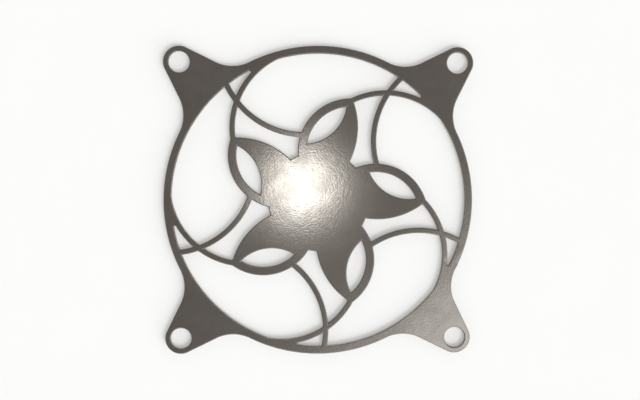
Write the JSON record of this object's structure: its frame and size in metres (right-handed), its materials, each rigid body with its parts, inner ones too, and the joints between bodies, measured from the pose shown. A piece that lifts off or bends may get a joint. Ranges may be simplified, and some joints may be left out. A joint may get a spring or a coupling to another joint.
{
  "type": "fan guard",
  "caption": "Flat polished sheet metal fan guard with a slim round rim, corner screw ears and a pierced rotor motif held in the opening by curved straps.",
  "frame": {"origin": "middle of the back face, at the bottom centre of the box of the plate", "axes": "+Z out of the front face, the thin way of the sheet; X and Y along the sides of the square of screw holes"},
  "size_m": [0.08, 0.08, 0.0015],
  "materials": {
    "polished_steel": "polished"
  },
  "bodies": {
    "root": {"guard_plate": "polished_steel"}
  },
  "joints": []
}
